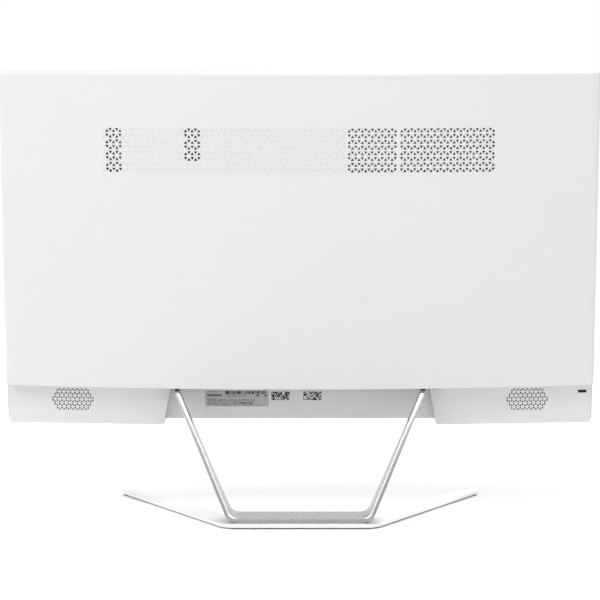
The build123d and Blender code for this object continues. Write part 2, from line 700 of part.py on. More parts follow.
# ---------------------------------------------------------------- electronics on the chassis
board_mid = BOARD_FOOT + BOARD_HEIGHT / 2
with BuildPart() as mainboard:
    with BuildSketch(back(BOARD_DEPTH)):
        with Locations((0, board_mid)):
            RectangleRounded(BOARD_WIDTH, BOARD_HEIGHT, 2)
        with Locations(*STANDOFFS):
            Circle(1.6, mode=Mode.SUBTRACT)
    extrude(amount=BOARD)
    for x, rise, wide, tall, thick in ((-40, 96, 24, 12, 1.4), (30, 88, 18, 18, 1.2), (62, 70, 9, 9, 2.6),
                                       (-48, 66, 11, 8, 3.0), (-70, 118, 7, 22, 2.2), (64, 96, 6, 6, 3.4)):
        add(back_box(x, rise, board_rear, wide, tall, thick))
mainboard.part.label = "mainboard"
export_step(mainboard.part, "parts/mainboard.step")

with BuildPart() as board_standoffs:
    with BuildSketch(back(chassis_rear)):
        with Locations(*STANDOFFS):
            RegularPolygon(3.0, 6)
    extrude(amount=BOARD_DEPTH - chassis_rear)
board_standoffs.part.label = "board_standoffs"
export_step(board_standoffs.part, "parts/board_standoffs.step")

with BuildPart() as board_screws:
    with BuildSketch(back(BOARD_DEPTH)):
        with Locations(*STANDOFFS):
            Circle(1.5)
    extrude(amount=BOARD)
    with BuildSketch(back(board_rear)):
        with Locations(*STANDOFFS):
            Circle(2.8)
            RegularPolygon(1.1, 6, mode=Mode.SUBTRACT)
    extrude(amount=1.6)
board_screws.part.label = "board_screws"
export_step(board_screws.part, "parts/board_screws.step")

CPU_X = 22.0
CPU_RISE = 142.0
CPU_HEIGHT = 1.9
SPREADER = 2.4
PIPE = 3.0
cpu_rear = board_rear + CPU_HEIGHT
spreader_rear = cpu_rear + SPREADER
with BuildPart() as cpu:
    add(back_box(CPU_X, CPU_RISE, board_rear, 42.0, 28.0, 0.9))
    add(back_box(CPU_X, CPU_RISE, board_rear + 0.9, 22.0, 12.0, CPU_HEIGHT - 0.9))
cpu.part.label = "cpu"
export_step(cpu.part, "parts/cpu.step")

with BuildPart() as heat_spreader:
    add(back_box(CPU_X, CPU_RISE, cpu_rear, 52.0, 44.0, SPREADER))
heat_spreader.part.label = "heat_spreader"
export_step(heat_spreader.part, "parts/heat_spreader.step")

FIN_HALF = 36.0
FIN_X = 132.0
FIN_FOOT = fan_rise + FAN_CASE_HALF + 1.0
FIN_TOP = FIN_FOOT + 26.0
with BuildPart() as heat_pipe:
    with BuildSketch(back(spreader_rear)):
        with BuildLine():
            FilletPolyline((CPU_X - 16, CPU_RISE), (CPU_X + 34, CPU_RISE), (86, (FIN_FOOT + FIN_TOP) / 2),
                           (FIN_X + FIN_HALF, (FIN_FOOT + FIN_TOP) / 2), radius=12)
        trace(line_width=8.0)
    extrude(amount=PIPE)
heat_pipe.part.label = "heat_pipe"
export_step(heat_pipe.part, "parts/heat_pipe.step")

pipe_rear = spreader_rear + PIPE
with BuildPart() as fin_stack:
    with BuildSketch(back(pipe_rear)):
        with Locations((FIN_X, (FIN_FOOT + FIN_TOP) / 2)):
            Rectangle(2 * FIN_HALF, FIN_TOP - FIN_FOOT)
    extrude(amount=0.6)
    with BuildSketch(back(pipe_rear + 0.6)):
        with Locations((FIN_X, (FIN_FOOT + FIN_TOP) / 2)):
            with GridLocations(3.0, 0.1, 24, 1):
                Rectangle(0.4, FIN_TOP - FIN_FOOT)
    extrude(amount=5.4)
fin_stack.part.label = "fin_stack"
export_step(fin_stack.part, "parts/fin_stack.step")

# ---------------------------------------------------------------- blower
fan_rear = FAN_DEPTH + FAN_THICK
AXLE_RADIUS = 1.5
BLADES = 29
with BuildPart() as fan_case:
    with BuildSketch(back(FAN_DEPTH)):
        with Locations((FAN_X, fan_rise)):
            RectangleRounded(2 * FAN_CASE_HALF, 2 * FAN_CASE_HALF, 6)
    extrude(amount=FAN_THICK - FAN_WALL)
    with BuildSketch(back(FAN_DEPTH + FAN_WALL)):
        with Locations((FAN_X, fan_rise)):
            Circle(ROTOR_RADIUS + 3)
        with Locations((FAN_X, fan_rise + FAN_CASE_HALF / 2)):
            Rectangle(2 * (ROTOR_RADIUS + 3), FAN_CASE_HALF)
    extrude(amount=FAN_THICK, mode=Mode.SUBTRACT)
    with BuildSketch(back(FAN_DEPTH)):
        with Locations((FAN_X, fan_rise)):
            Circle(4.5)
    extrude(amount=4.0)
    with BuildSketch(back(FAN_DEPTH)):
        with Locations((FAN_X, fan_rise)):
            Circle(AXLE_RADIUS + RUNNING)
    extrude(amount=FAN_THICK, mode=Mode.SUBTRACT)
    for dx, dy in ((-1, -1), (1, -1), (-1, 1), (1, 1)):
        with BuildSketch(back(chassis_rear)):
            with Locations((FAN_X + dx * (FAN_CASE_HALF - 4), fan_rise + dy * (FAN_CASE_HALF - 4))):
                Circle(3.0)
        extrude(amount=FAN_DEPTH - chassis_rear)
fan_case.part.label = "fan_case"
export_step(fan_case.part, "parts/fan_case.step")

with BuildPart() as fan_cover:
    with BuildSketch(back(fan_rear - FAN_WALL)):
        with Locations((FAN_X, fan_rise)):
            RectangleRounded(2 * FAN_CASE_HALF, 2 * FAN_CASE_HALF, 6)
            Circle(22.0, mode=Mode.SUBTRACT)
    extrude(amount=FAN_WALL)
fan_cover.part.label = "fan_cover"
export_step(fan_cover.part, "parts/fan_cover.step")

rotor_low = FAN_DEPTH + 4.0 + SIDE_GAP
rotor_high = fan_rear - FAN_WALL - 0.8
with BuildPart() as fan_rotor:
    with BuildSketch(back(rotor_low)):
        with Locations((FAN_X, fan_rise)):
            Circle(HUB_RADIUS)
    extrude(amount=rotor_high - rotor_low)
    with BuildSketch(back(rotor_low)):
        with Locations((FAN_X, fan_rise)):
            Circle(ROTOR_RADIUS - 1)
    extrude(amount=0.8)
    with BuildSketch(back(rotor_low)):
        with Locations((FAN_X, fan_rise)):
            with PolarLocations(HUB_RADIUS + (ROTOR_RADIUS - HUB_RADIUS) / 2, BLADES):
                Rectangle(ROTOR_RADIUS - HUB_RADIUS, 0.9, rotation=24)
    extrude(amount=rotor_high - rotor_low)
    with BuildSketch(back(rotor_low)):
        with Locations((FAN_X, fan_rise)):
            Circle(ROTOR_RADIUS)
    extrude(amount=rotor_high - rotor_low, mode=Mode.INTERSECT)
    with BuildSketch(back(FAN_DEPTH + 0.4)):
        with Locations((FAN_X, fan_rise)):
            Circle(AXLE_RADIUS)
    extrude(amount=rotor_low - FAN_DEPTH + 1)
fan_rotor.part.label = "fan_rotor"
export_step(fan_rotor.part, "parts/fan_rotor.step")

# ---------------------------------------------------------------- plug-in modules and storage
MEMORY_X = -52.0
MEMORY_RISE = (150.0, 186.0)
with BuildPart() as memory_sockets:
    for rise in MEMORY_RISE:
        add(back_box(MEMORY_X, rise - 15, board_rear, 74.0, 4.4, 5.2))
memory_sockets.part.label = "memory_sockets"
export_step(memory_sockets.part, "parts/memory_sockets.step")

with BuildPart() as memory_modules:
    for rise in MEMORY_RISE:
        add(back_box(MEMORY_X, rise + 2.4, board_rear + 3.0, 69.6, 30.0, 1.2))
        for x in (-24, -8, 8, 24):
            add(back_box(MEMORY_X + x, rise + 4, board_rear + 4.2, 11.0, 13.0, 0.9))
memory_modules.part.label = "memory_modules"
export_step(memory_modules.part, "parts/memory_modules.step")

STICK_X = 52.0
STICK_RISE = 196.0
with BuildPart() as ssd_stick:
    add(back_box(STICK_X, STICK_RISE, board_rear + 1.6, 60.0, 22.0, 0.8))
    for x in (-16, 4, 20):
        add(back_box(STICK_X + x, STICK_RISE, board_rear + 2.4, 14.0, 15.0, 1.0))
    add(back_box(STICK_X - 31, STICK_RISE, board_rear, 4.0, 22.0, 1.6))
    with BuildSketch(back(board_rear)):
        with Locations((STICK_X + 27, STICK_RISE)):
            Circle(2.2)
    extrude(amount=1.6)
ssd_stick.part.label = "ssd_stick"
export_step(ssd_stick.part, "parts/ssd_stick.step")

WIRELESS_X = -78.0
WIRELESS_RISE = 80.0
with BuildPart() as wireless_card:
    add(back_box(WIRELESS_X, WIRELESS_RISE, board_rear + 1.2, 22.0, 30.0, 0.8))
    add(back_box(WIRELESS_X, WIRELESS_RISE, board_rear + 2.0, 16.0, 19.0, 1.4))
    add(back_box(WIRELESS_X, WIRELESS_RISE - 13.5, board_rear, 22.0, 3.0, 1.2))
wireless_card.part.label = "wireless_card"
export_step(wireless_card.part, "parts/wireless_card.step")

CELL_SPOT = (-2.0, 96.0)
with BuildPart() as coin_cell:
    with BuildSketch(back(board_rear)):
        with Locations(CELL_SPOT):
            Circle(11.4)
    extrude(amount=1.2)
    with BuildSketch(back(board_rear + 1.2)):
        with Locations(CELL_SPOT):
            Circle(10.0)
    extrude(amount=3.2)
coin_cell.part.label = "coin_cell"
export_step(coin_cell.part, "parts/coin_cell.step")

DRIVE_X = -160.0
DRIVE_RISE = 150.0
DRIVE = (100.2, 69.9, 7.0)
DRIVE_TRAY = 1.2
drive_seat = chassis_rear + DRIVE_TRAY
with BuildPart() as hard_drive:
    with BuildSketch(back(drive_seat)):
        with Locations((DRIVE_X, DRIVE_RISE)):
            RectangleRounded(DRIVE[0], DRIVE[1], 3)
    extrude(amount=DRIVE[2])
    with BuildSketch(back(drive_seat + DRIVE[2])):
        with Locations((DRIVE_X - 14, DRIVE_RISE)):
            Circle(26.0)
    extrude(amount=0.6)
hard_drive.part.label = "hard_drive"
export_step(hard_drive.part, "parts/hard_drive.step")

with BuildPart() as drive_tray:
    for side in (-1, 1):
        rise = DRIVE_RISE + side * (DRIVE[1] + DRIVE_TRAY) / 2
        add(back_box(DRIVE_X, rise, chassis_rear, DRIVE[0] + 8, DRIVE_TRAY, DRIVE[2]))
        add(back_box(DRIVE_X, rise + side * 4, chassis_rear, DRIVE[0] + 8, 8.0, DRIVE_TRAY))
    add(back_box(DRIVE_X, DRIVE_RISE, chassis_rear, DRIVE[0] + 8, DRIVE[1] + 2 * DRIVE_TRAY, DRIVE_TRAY))
drive_tray.part.label = "drive_tray"
export_step(drive_tray.part, "parts/drive_tray.step")

with BuildPart() as panel_driver:
    add(back_box(0, view_mid - panel_height / 2 + 8.0, tray_face + TRAY, 180.0, 12.0, 0.8))
panel_driver.part.label = "panel_driver"
export_step(panel_driver.part, "parts/panel_driver.step")

antenna_x = half_width - 66.2
antenna_rise = DISPLAY_HEIGHT - 25.0
with BuildPart() as antennas:
    for x in (-antenna_x, antenna_x):
        add(back_box(x, antenna_rise, chassis_rear, 46.0, 14.0, 0.5))
        add(back_box(x, antenna_rise - 2, chassis_rear + 0.5, 4.0, 3.0, 1.2))
antennas.part.label = "antennas"
export_step(antennas.part, "parts/antennas.step")

# ---------------------------------------------------------------- sound, lock, power button
SPEAKER_WIDTH = 50.0
SPEAKER_HEIGHT = 22.0
SPEAKER_RIM = 0.5
speaker_face = chassis_face + 0.2
chin_crown = CHIN_CENTRE - CHIN_SIDE
hollow_radius = ((chin_half - CHIN_WALL) ** 2 + chin_crown**2) / (2 * chin_crown)
speaker_end = grille_x + SPEAKER_WIDTH / 2
wall_at_end = CHIN_CENTRE - CHIN_WALL - hollow_radius + sqrt(hollow_radius**2 - speaker_end**2)
speaker_depth = wall_at_end - speaker_face - SPEAKER_RIM - SEAM
for name, side in (("speaker_left", -1), ("speaker_right", 1)):
    with BuildPart() as speaker:
        add(back_box(side * grille_x, GRILLE_RISE - 1, speaker_face, SPEAKER_WIDTH, SPEAKER_HEIGHT,
                     speaker_depth))
        with BuildSketch(back(speaker_face + speaker_depth)):
            with Locations((side * grille_x, GRILLE_RISE)):
                SlotOverall(36, 15)
                SlotOverall(32, 11, mode=Mode.SUBTRACT)
        extrude(amount=SPEAKER_RIM)
    speaker.part.label = name
    export_step(speaker.part, f"parts/{name}.step")

with BuildPart() as lock_plate:
    add(back_box(LOCK_X - 1.0, LOCK_RISE, BEZEL_DEPTH, 11.0, 9.0, 1.2))
lock_plate.part.label = "lock_plate"
export_step(lock_plate.part, "parts/lock_plate.step")

FLANGE_SIZE = 0.8
with BuildPart() as power_button:
    with BuildSketch(level(-0.5)):
        with Locations((button_x, BUTTON_DEPTH)):
            SlotOverall(BUTTON_LENGTH, BUTTON_WIDTH)
    extrude(amount=CHIN_WALL + 0.5 + SIDE_GAP)
    with BuildSketch(level(CHIN_WALL + SIDE_GAP)):
        with Locations((button_x, BUTTON_DEPTH)):
            SlotOverall(BUTTON_LENGTH + FLANGE_SIZE, BUTTON_WIDTH + FLANGE_SIZE)
    extrude(amount=0.8)
power_button.part.label = "power_button"
export_step(power_button.part, "parts/power_button.step")

button_back = CHIN_WALL + SIDE_GAP + 0.8
with BuildPart() as power_board:
    with BuildSketch(level(button_back + BUTTON_TRAVEL + 0.4)):
        with Locations((button_x, BUTTON_DEPTH)):
            Rectangle(4.0, 2.6)
    extrude(amount=1.2)
    with BuildSketch(level(button_back + BUTTON_TRAVEL + 1.6)):
        with Locations((button_x, BUTTON_DEPTH)):
            Rectangle(18.0, 3.0)
    extrude(amount=1.2)
power_board.part.label = "power_board"
export_step(power_board.part, "parts/power_board.step")

# ---------------------------------------------------------------- cables and cover screws
with BuildPart() as panel_cable:
    add(back_box(-70, CHASSIS_FOOT + 20, chassis_rear, 16.0, 38.0, 0.3))
panel_cable.part.label = "panel_cable"
export_step(panel_cable.part, "parts/panel_cable.step")

with BuildPart() as speaker_cable:
    for side in (-1, 1):
        add(back_box(side * (bracket_mid + 52), CHASSIS_FOOT + 14, chassis_rear, 60.0, 2.0, 1.0))
speaker_cable.part.label = "speaker_cable"
export_step(speaker_cable.part, "parts/speaker_cable.step")

BOSS_RADIUS = 2.6
boss_rise = DISPLAY_HEIGHT - 11.0
boss_x = half_width - 71.2
low_boss_x = half_width - 46.2
BOSSES = [(x, boss_rise) for x in (-boss_x, -70, 70, boss_x)] + [(x, 48.0) for x in (-low_boss_x, low_boss_x)]
with BuildPart() as cover_bosses:
    for x, rise in BOSSES:
        with BuildSketch(back(chassis_rear)):
            with Locations((x, rise)):
                Circle(BOSS_RADIUS)
        extrude(amount=skin_depth(abs(x) + BOSS_RADIUS) - COVER_WALL - chassis_rear - 0.4)
cover_bosses.part.label = "cover_bosses"
export_step(cover_bosses.part, "parts/cover_bosses.step")
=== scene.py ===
"""Looks of an all-in-one desktop computer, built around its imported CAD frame.

Metres, +Z up, the screen faces -Y. Places on the display are given in its own leaning frame:
`x` is world X, `rise` runs up the display from its lower front edge and `depth` runs rearward.
"""

import json
import logging
import math
from dataclasses import dataclass, field
from enum import Enum

import bmesh
import bpy
from mathutils import Matrix, Vector

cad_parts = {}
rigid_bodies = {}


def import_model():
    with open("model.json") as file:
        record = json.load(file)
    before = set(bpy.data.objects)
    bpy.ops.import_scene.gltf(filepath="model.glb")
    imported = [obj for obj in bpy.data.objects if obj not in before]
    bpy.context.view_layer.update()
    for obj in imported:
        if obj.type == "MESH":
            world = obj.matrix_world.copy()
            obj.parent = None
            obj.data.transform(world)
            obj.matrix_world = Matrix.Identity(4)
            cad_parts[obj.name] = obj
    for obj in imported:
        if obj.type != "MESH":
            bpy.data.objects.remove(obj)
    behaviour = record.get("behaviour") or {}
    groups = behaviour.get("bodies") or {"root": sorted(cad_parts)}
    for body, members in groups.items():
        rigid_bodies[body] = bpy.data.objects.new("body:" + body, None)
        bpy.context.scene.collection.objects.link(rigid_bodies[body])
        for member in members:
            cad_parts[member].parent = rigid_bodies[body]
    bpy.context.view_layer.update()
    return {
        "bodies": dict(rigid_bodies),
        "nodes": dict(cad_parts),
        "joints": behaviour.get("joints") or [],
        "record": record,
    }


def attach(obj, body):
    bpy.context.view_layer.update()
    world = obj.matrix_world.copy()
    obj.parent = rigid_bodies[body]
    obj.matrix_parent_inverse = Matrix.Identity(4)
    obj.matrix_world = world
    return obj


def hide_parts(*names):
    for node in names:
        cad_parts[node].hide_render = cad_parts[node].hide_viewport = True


LOG = logging.getLogger("all_in_one")
MM = 0.001


# ----------------------------------------------------------------------------- shader tools
class Signal:
    """A number socket of a node tree that can be used in Python expressions."""

    def __init__(self, kit: "NodeKit", source: "bpy.types.NodeSocket | float") -> None:
        """Wrap a socket or a plain number.

        Args:
            kit: The node tool of the material that the socket belongs to.
            source: An output socket, or a number.
        """
        self.kit = kit
        self.source = source

    def _math(self, operation: str, *others: "Signal | float") -> "Signal":
        """Add one Math node.

        Args:
            operation: Name of the Math operation.
            others: The other operands.

        Returns:
            The node's result.
        """
        values = [self.source] + [o.source if isinstance(o, Signal) else o for o in others]
        node = self.kit.node("ShaderNodeMath", {"operation": operation}, dict(enumerate(values)))
        return Signal(self.kit, node.outputs[0])

    def __add__(self, other: "Signal | float") -> "Signal":
        """Return self + other."""
        return self._math("ADD", other)

    def __radd__(self, other: float) -> "Signal":
        """Return other + self."""
        return self._math("ADD", other)

    def __sub__(self, other: "Signal | float") -> "Signal":
        """Return self - other."""
        return self._math("SUBTRACT", other)

    def __rsub__(self, other: float) -> "Signal":
        """Return other - self."""
        return Signal(self.kit, other)._math("SUBTRACT", self)

    def __mul__(self, other: "Signal | float") -> "Signal":
        """Return self * other."""
        return self._math("MULTIPLY", other)

    def __rmul__(self, other: float) -> "Signal":
        """Return other * self."""
        return self._math("MULTIPLY", other)

    def __truediv__(self, other: "Signal | float") -> "Signal":
        """Return self / other."""
        return self._math("DIVIDE", other)

    def __abs__(self) -> "Signal":
        """Return the size of the number without its sign."""
        return self._math("ABSOLUTE")

    def fract(self) -> "Signal":
        """Return the part after the point."""
        return self._math("FRACT")

    def floor(self) -> "Signal":
        """Return the whole number below."""
        return self._math("FLOOR")

    def least(self, other: "Signal | float") -> "Signal":
        """Return the smaller of two numbers."""
        return self._math("MINIMUM", other)

    def most(self, other: "Signal | float") -> "Signal":
        """Return the larger of two numbers."""
        return self._math("MAXIMUM", other)

    def above(self, edge: float, soft: float) -> "Signal":
        """Rise smoothly from 0 to 1 around an edge.

        Args:
            edge: Where the step is.
            soft: Half the width of the step.

        Returns:
            The mask.
        """
        settings = {"interpolation_type": "SMOOTHSTEP"}
        inputs = {"Value": self.source, "From Min": edge - soft, "From Max": edge + soft}
        node = self.kit.node("ShaderNodeMapRange", settings, inputs)
        return Signal(self.kit, node.outputs[0])

    def below(self, edge: float, soft: float) -> "Signal":
        """Fall smoothly from 1 to 0 around an edge."""
        return 1 - self.above(edge, soft)

    def between(self, low: float, high: float, soft: float) -> "Signal":
        """Mask that is 1 between two edges."""
        return self.above(low, soft) * self.below(high, soft)


class NodeKit:
    """Makes the nodes of one material."""

    def __init__(self, name: str) -> None:
        """Start an empty material.

        Args:
            name: The material's name.
        """
        self.material = bpy.data.materials.new(name)
        self.material.use_nodes = True
        self.tree = self.material.node_tree
        self.tree.nodes.clear()
        self.output = self.tree.nodes.new("ShaderNodeOutputMaterial")

    def node(self, kind: str, settings: "dict | None" = None,
             inputs: "dict | None" = None) -> bpy.types.Node:
        """Add a node.

        Args:
            kind: Node type.
            settings: Attributes of the node, set first. A ramp's stops go under "stops".
            inputs: Values or links of its sockets, by name or number.

        Returns:
            The node.
        """
        made = self.tree.nodes.new(kind)
        for key, value in (settings or {}).items():
            if key == "stops":
                self.set_stops(made.color_ramp, value)
            else:
                setattr(made, key, value)
        for key, value in (inputs or {}).items():
            value = value.source if isinstance(value, Signal) else value
            if isinstance(value, bpy.types.NodeSocket):
                self.tree.links.new(value, made.inputs[key])
            else:
                made.inputs[key].default_value = value
        return made

    @staticmethod
    def set_stops(ramp: bpy.types.ColorRamp, stops: "list[tuple[float, tuple]]") -> None:
        """Give a colour ramp its stops."""
        while len(ramp.elements) < len(stops):
            ramp.elements.new(1.0)
        for element, (place, colour) in zip(ramp.elements, stops):
            element.position = place
            element.color = colour

    def place(self) -> bpy.types.NodeSocket:
        """Return the Object coordinate socket."""
        return self.node("ShaderNodeTexCoord").outputs["Object"]

    def axes(self, vector: bpy.types.NodeSocket) -> "tuple[Signal, Signal, Signal]":
        """Split a vector.

        Args:
            vector: A vector socket.

        Returns:
            Its X, Y and Z.
        """
        parts = self.node("ShaderNodeSeparateXYZ", inputs={0: vector}).outputs
        return Signal(self, parts[0]), Signal(self, parts[1]), Signal(self, parts[2])

    def noise(self, scale: float, detail: float = 3.0, stretch: tuple = (1, 1, 1)) -> Signal:
        """Fractal noise over Object coordinates.

        Args:
            scale: Features per metre.
            detail: Octaves.
            stretch: Scale along X, Y and Z, for grain that runs one way.

        Returns:
            The noise, about 0 to 1.
        """
        mapped = self.node("ShaderNodeMapping", inputs={"Vector": self.place(), "Scale": stretch}).outputs[0]
        node = self.node("ShaderNodeTexNoise", inputs={"Vector": mapped, "Scale": scale, "Detail": detail})
        return Signal(self, node.outputs["Fac"])

    def blend(self, mask: "Signal | float", low: "tuple | bpy.types.NodeSocket",
              high: "tuple | bpy.types.NodeSocket") -> bpy.types.NodeSocket:
        """Mix two colours.

        Args:
            mask: 0 gives low, 1 gives high.
            low: Colour or colour socket.
            high: Colour or colour socket.

        Returns:
            The mixed colour socket.
        """
        node = self.node("ShaderNodeMix", {"data_type": "RGBA"}, {0: mask, 6: low, 7: high})
        return node.outputs[2]

    def bump(self, height: Signal, distance: float, strength: float = 1.0,
             edge: float = 0.0) -> bpy.types.NodeSocket:
        """Turn a height into a normal.

        Args:
            height: The height, 0 to 1.
            distance: Height in metres at 1.
            strength: How strongly it shows.
            edge: Radius in metres to which sharp edges look rounded, or 0.

        Returns:
            The normal socket.
        """
        inputs = {"Strength": strength, "Distance": distance, "Height": height}
        if edge:
            inputs["Normal"] = self.node("ShaderNodeBevel", {"samples": 6}, {"Radius": edge}).outputs[0]
        return self.node("ShaderNodeBump", inputs=inputs).outputs[0]

    def surface(self, **sockets: object) -> bpy.types.Material:
        """Finish the material with one Principled shader.

        Args:
            sockets: Values or links by socket name, with _ for a space.

        Returns:
            The material.
        """
        inputs = {name.replace("_", " "): value for name, value in sockets.items()}
        shader = self.node("ShaderNodeBsdfPrincipled", inputs=inputs)
        self.tree.links.new(shader.outputs[0], self.output.inputs[0])
        return self.material


def grey(level: float) -> "tuple[float, float, float, float]":
    """Return a neutral colour."""
    return (level, level, level, 1.0)


# ----------------------------------------------------------------------------- display frame
@dataclass(frozen=True)
class Lean:
    """The display's leaning frame, read from the tilt of the record's button joint."""

    foot: Vector
    up: Vector
    rearward: Vector

    @classmethod
    def from_frame(cls, frame: dict) -> "Lean":
        """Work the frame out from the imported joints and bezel.


        Returns:
            The display's frame, with its foot at the bezel's lower front edge.
        """
        slide = next(j for j in frame["joints"] if j["name"] == "button_press")
        up = Vector(slide["axis"]).normalized()
        rearward = Vector((0, up.z, -up.y))
        corners = [v.co.copy() for v in frame["nodes"]["lower_cover"].data.vertices]
        rise = min(corner.dot(up) for corner in corners)
        depth = min(v.co.dot(rearward) for v in frame["nodes"]["front_bezel"].data.vertices)
        return cls(rearward * depth + up * rise, up, rearward)

    def at(self, x: float, rise: float, depth: float) -> Vector:
        """Place on the display, in metres."""
        return Vector((x, 0, 0)) + self.foot + self.up * rise + self.rearward * depth

    def matrix(self, x: float, rise: float, depth: float) -> Matrix:
        """Matrix whose X is world X, Y is up the display and Z is frontward."""
        turn = Matrix((Vector((1, 0, 0)), self.up, -self.rearward)).transposed().to_4x4()
        return Matrix.Translation(self.at(x, rise, depth)) @ turn

    def coordinates(self, kit: NodeKit) -> "tuple[Signal, Signal, Signal]":
        """Split Object coordinates into x, rise and depth, in millimetres.

        Args:
            kit: The material's node tool.

        Returns:
            x, rise and depth signals.
        """
        x, y, z = kit.axes(kit.place())
        scale = 1 / MM
        rise = (y - self.foot.y) * (self.up.y * scale) + (z - self.foot.z) * (self.up.z * scale)
        depth = (y - self.foot.y) * (self.rearward.y * scale) + (z - self.foot.z) * (self.rearward.z * scale)
        return x * scale, rise, depth


# ----------------------------------------------------------------------------- finishes
@dataclass(frozen=True)
class Plastic:
    """Moulded plastic with a spark-eroded grain."""

    name: str
    colour: float
    roughness: float = 0.42
    unevenness: float = 0.015
    grain: float = 0.00002
    grain_scale: float = 2600.0
    edge: float = 0.0004

    def body(self, kit: NodeKit) -> bpy.types.NodeSocket:
        """Return the colour, a little uneven as moulded plastic is."""
        low, high = 1 - self.unevenness, 1 + self.unevenness
        return kit.blend(kit.noise(6.0), grey(self.colour * low), grey(self.colour * high))

    def normal(self, kit: NodeKit) -> bpy.types.NodeSocket:
        """Return the grain as a normal."""
        return kit.bump(kit.noise(self.grain_scale, 4.0), self.grain, 0.6, self.edge)

    def build(self) -> bpy.types.Material:
        """Make the material."""
        kit = NodeKit(self.name)
        rough = kit.noise(900.0) * 0.08 + (self.roughness - 0.04)
        return kit.surface(Base_Color=self.body(kit), Roughness=rough, Normal=self.normal(kit),
                           Specular_IOR_Level=0.4)


@dataclass(frozen=True)
class Skin:
    """Outer face of one cover: a crown around an upright axis, in millimetres."""

    crown: float
    radius: float
    half_width: float
    low: float
    high: float
    inner: float = 0.0


@dataclass(frozen=True)
class EmbossedPlastic(Plastic):
    """Cover plastic with a band of shallow blind triangles between the vents."""

    lean: "Lean | None" = None
    cell: float = 5.92
    wall: float = 0.814
    first: float = -176.68
    datum: float = 271.47
    band: "tuple[float, float, float, float]" = (-177.5, 41.5, 235.6, 276.6)
    depth: float = 0.0003
    pocket_shade: float = 0.06
    # Near-black painted shade for the cover's inside, starting this many millimetres below the outer skin.
    inner_painted_shade: float = 0.02
    painted_shade_below: float = 0.9
    skins: "tuple[Skin, Skin]" = (Skin(38.0, 1848.7, 270.0, 38.2, 323.8),
                                  Skin(21.5, 3062.0, 268.6, 2.2, 37.6, inner=131.0))

    def body(self, kit: NodeKit) -> bpy.types.NodeSocket:
        """Return the plastic's colour, with painted shade in the pockets and near-black painted shade on the
        inside.
        """
        # Painted shade: the blind triangles are darkened, and everything deeper than the outer skin is
        # painted near black so the vent holes read dark.
        pockets = kit.blend(self.pockets(kit) * self.pocket_shade, super().body(kit), grey(0.0))
        return kit.blend(self.inside(kit), pockets, grey(self.inner_painted_shade))

    def inside(self, kit: NodeKit) -> Signal:
        """Mask of what lies deeper than the outer skin of either cover."""
        x, rise, depth = self.lean.coordinates(kit)
        masks = []
        for skin in self.skins:
            under = (depth + x * x * (0.5 / skin.radius)).below(skin.crown - self.painted_shade_below, 0.1)
            across = abs(x).between(skin.inner, skin.half_width, 0.1)
            masks.append(under * across * rise.between(skin.low, skin.high, 0.1))
        return masks[0].most(masks[1])

    def pockets(self, kit: NodeKit) -> Signal:
        """Mask of the blind triangles."""
        x, rise, _ = self.lean.coordinates(kit)
        height = self.cell * math.sqrt(3) / 2
        across = (0 - x - self.first) / self.cell
        level = (rise - self.datum) / height
        inside = None
        for lines in (level, across + level * 0.5, across - level * 0.5):
            part = lines.fract()
            distance = part.least(1 - part) * height
            inside = distance if inside is None else inside.least(distance)
        left, right, low, high = self.band
        window = (0 - x).between(left, right, 0.05) * rise.between(low, high, 0.05)
        return inside.above(self.wall, 0.12) * window

    def normal(self, kit: NodeKit) -> bpy.types.NodeSocket:
        """Return the grain with the band of triangles sunk into it, as a normal."""
        grain = kit.noise(self.grain_scale, 4.0) * (self.grain / self.depth)
        return kit.bump(grain + (1 - self.pockets(kit)), self.depth, 0.7, self.edge)


@dataclass(frozen=True)
class BezelPlastic(Plastic):
    """White bezel whose front border is printed black around the picture."""

    lean: "Lean | None" = None
    bar_top: float = 20.0
    half: float = 270.6
    top: float = 324.2
    lip: float = 4.0
    print_black: float = 0.006

    def body(self, kit: NodeKit) -> bpy.types.NodeSocket:
        """Return white with the black border on the front face."""
        x, rise, depth = self.lean.coordinates(kit)
        inside = abs(x).below(self.half, 0.05) * rise.between(self.bar_top, self.top, 0.05)
        front = depth.below(0.2, 0.05)
        reveal = abs(x).below(self.half - self.lip, 0.1)
        reveal = reveal * rise.between(self.bar_top + 0.4, self.top - self.lip, 0.1)
        return kit.blend((inside * front).most(reveal), grey(self.colour), grey(self.print_black))


@dataclass(frozen=True)
class Metal:
    """Bare or plated metal with a fine directional grain."""

    name: str
    colour: "tuple[float, float, float]"
    roughness: float
    stretch: "tuple[float, float, float]" = (1, 1, 1)
    scale: float = 800.0
    grain: float = 0.00001
    metallic: float = 1.0
    edge: float = 0.0003

    def build(self) -> bpy.types.Material:
        """Make the material."""
        kit = NodeKit(self.name)
        streak = kit.noise(self.scale, 5.0, self.stretch)
        cloud = kit.noise(14.0)
        low = tuple(c * 0.94 for c in self.colour) + (1.0,)
        high = tuple(min(1.0, c * 1.04) for c in self.colour) + (1.0,)
        rough = streak * 0.12 + cloud * 0.06 + (self.roughness - 0.09)
        return kit.surface(Base_Color=kit.blend(cloud, low, high), Roughness=rough, Metallic=self.metallic,
                           Normal=kit.bump(streak, self.grain, 0.5, self.edge))


@dataclass(frozen=True)
class Rubber:
    """Dark pad rubber with a dusty, pitted face."""

    name: str = "pad_rubber"

    def build(self) -> bpy.types.Material:
        """Make the material."""
        kit = NodeKit(self.name)
        dust = kit.noise(160.0, 6.0)
        colour = kit.blend(dust, grey(0.016), grey(0.05))
        return kit.surface(Base_Color=colour, Roughness=dust * 0.2 + 0.7,
                           Normal=kit.bump(kit.noise(1400.0), 0.00004, 0.8))


